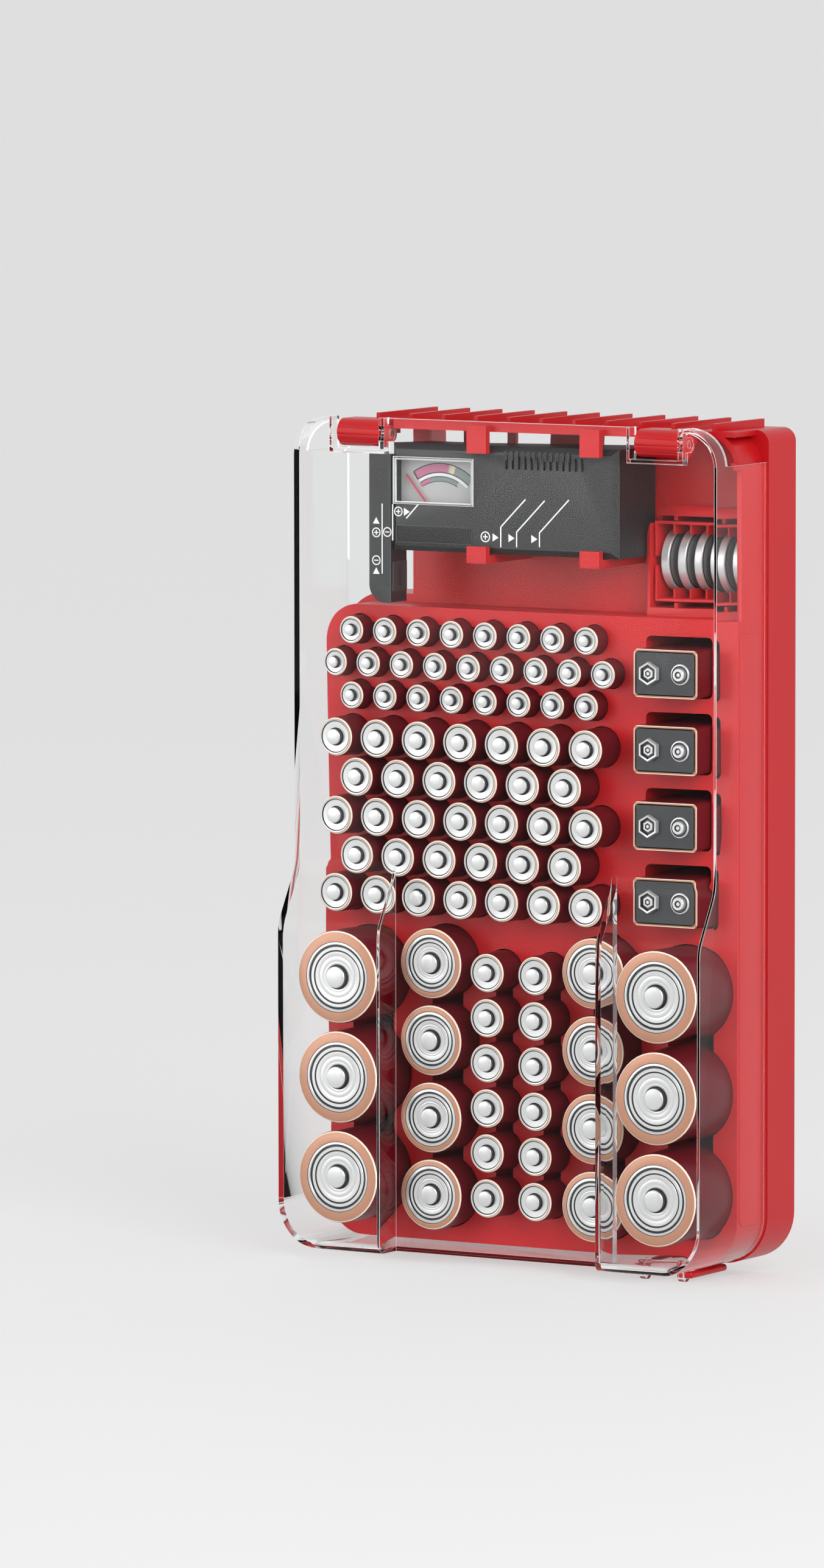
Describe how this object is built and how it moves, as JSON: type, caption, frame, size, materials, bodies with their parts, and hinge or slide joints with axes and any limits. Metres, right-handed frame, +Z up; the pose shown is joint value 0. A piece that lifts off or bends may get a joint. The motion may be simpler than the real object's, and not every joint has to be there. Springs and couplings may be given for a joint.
{
  "type": "battery storage drawer case",
  "caption": "Wall-hung moulded case for round, nine-volt and coin cells, with a clear lift-up cover, a coin-cell drawer and a removable pointer battery tester.",
  "frame": {"origin": "middle of the two wall-screw holes, on the wall plane at the back of the tray", "axes": "+Z up the wall, +X to the right as seen from the front, -Y out of the wall towards the user"},
  "size_m": [0.179, 0.0688, 0.3118],
  "materials": {
    "red_plastic": "satin moulded",
    "clear_plastic": "clear, polished",
    "cell_jacket": "dark printed sleeve",
    "cell_seal": "matt",
    "cell_terminal": "nickel plated",
    "nine_volt_top": "matt",
    "coin_steel": "plain",
    "tester_plastic": "fine texture",
    "window_plastic": "clear, polished",
    "dial_card": "printed card",
    "magnet_ferrite": "sintered",
    "coil_copper": "enamelled wire",
    "needle_red": "painted",
    "contact_brass": "plain",
    "resistor_ceramic": "lacquered",
    "screw_steel": "zinc plated"
  },
  "bodies": {
    "tray": {"tray": "red_plastic", "aaa_cell_bodies": "cell_jacket", "aaa_cell_seals": "cell_seal", "aaa_cell_caps": "cell_terminal", "aaa_cell_bases": "cell_terminal", "aa_cell_bodies": "cell_jacket", "aa_cell_seals": "cell_seal", "aa_cell_caps": "cell_terminal", "aa_cell_bases": "cell_terminal", "c_cell_bodies": "cell_jacket", "c_cell_seals": "cell_seal", "c_cell_caps": "cell_terminal", "c_cell_bases": "cell_terminal", "d_cell_bodies": "cell_jacket", "d_cell_seals": "cell_seal", "d_cell_caps": "cell_terminal", "d_cell_bases": "cell_terminal", "nine_volt_cases": "cell_jacket", "nine_volt_tops": "nine_volt_top", "nine_volt_round_snaps": "cell_terminal", "nine_volt_hex_snaps": "cell_terminal", "tester_back": "tester_plastic", "tester_front": "tester_plastic", "tester_screws": "screw_steel", "meter_window": "window_plastic", "meter_dial": "dial_card", "meter_magnet": "magnet_ferrite", "load_resistors": "resistor_ceramic", "body_contact": "contact_brass"},
    "cover": {"clear_cover": "clear_plastic"},
    "latch": {"latch_bail": "red_plastic"},
    "drawer": {"coin_drawer": "red_plastic", "coin_cell_cans": "coin_steel", "coin_cell_seals": "cell_seal", "coin_cell_caps": "coin_steel"},
    "arm": {"tester_arm": "tester_plastic", "arm_contact": "contact_brass", "nine_volt_contacts": "contact_brass"},
    "needle": {"meter_needle": "needle_red", "needle_spindle": "screw_steel", "meter_coil": "coil_copper"}
  },
  "joints": [
    {"name": "cover_hinge", "type": "hinge", "parent": "tray", "child": "cover", "pos_m": [0, -0.049, 0.022], "axis": [-1, 0, 0], "range_deg": [0, 95]},
    {"name": "latch_hinge", "type": "hinge", "parent": "cover", "child": "latch", "pos_m": [0.058, -0.04, -0.2803], "axis": [-1, 0, 0], "range_deg": [0, 150]},
    {"name": "drawer_slide", "type": "slide", "parent": "tray", "child": "drawer", "axis": [0, -1, 0], "range_m": [0, 0.025]},
    {"name": "arm_slide", "type": "slide", "parent": "tray", "child": "arm", "axis": [-1, 0, 0], "range_m": [0, 0.02]},
    {"name": "needle_pivot", "type": "hinge", "parent": "tray", "child": "needle", "pos_m": [-0.0333, -0.0455, -0.0096], "axis": [0, 1, 0], "range_deg": [0, 80], "stiffness_Nm_per_rad": 0.0001}
  ]
}
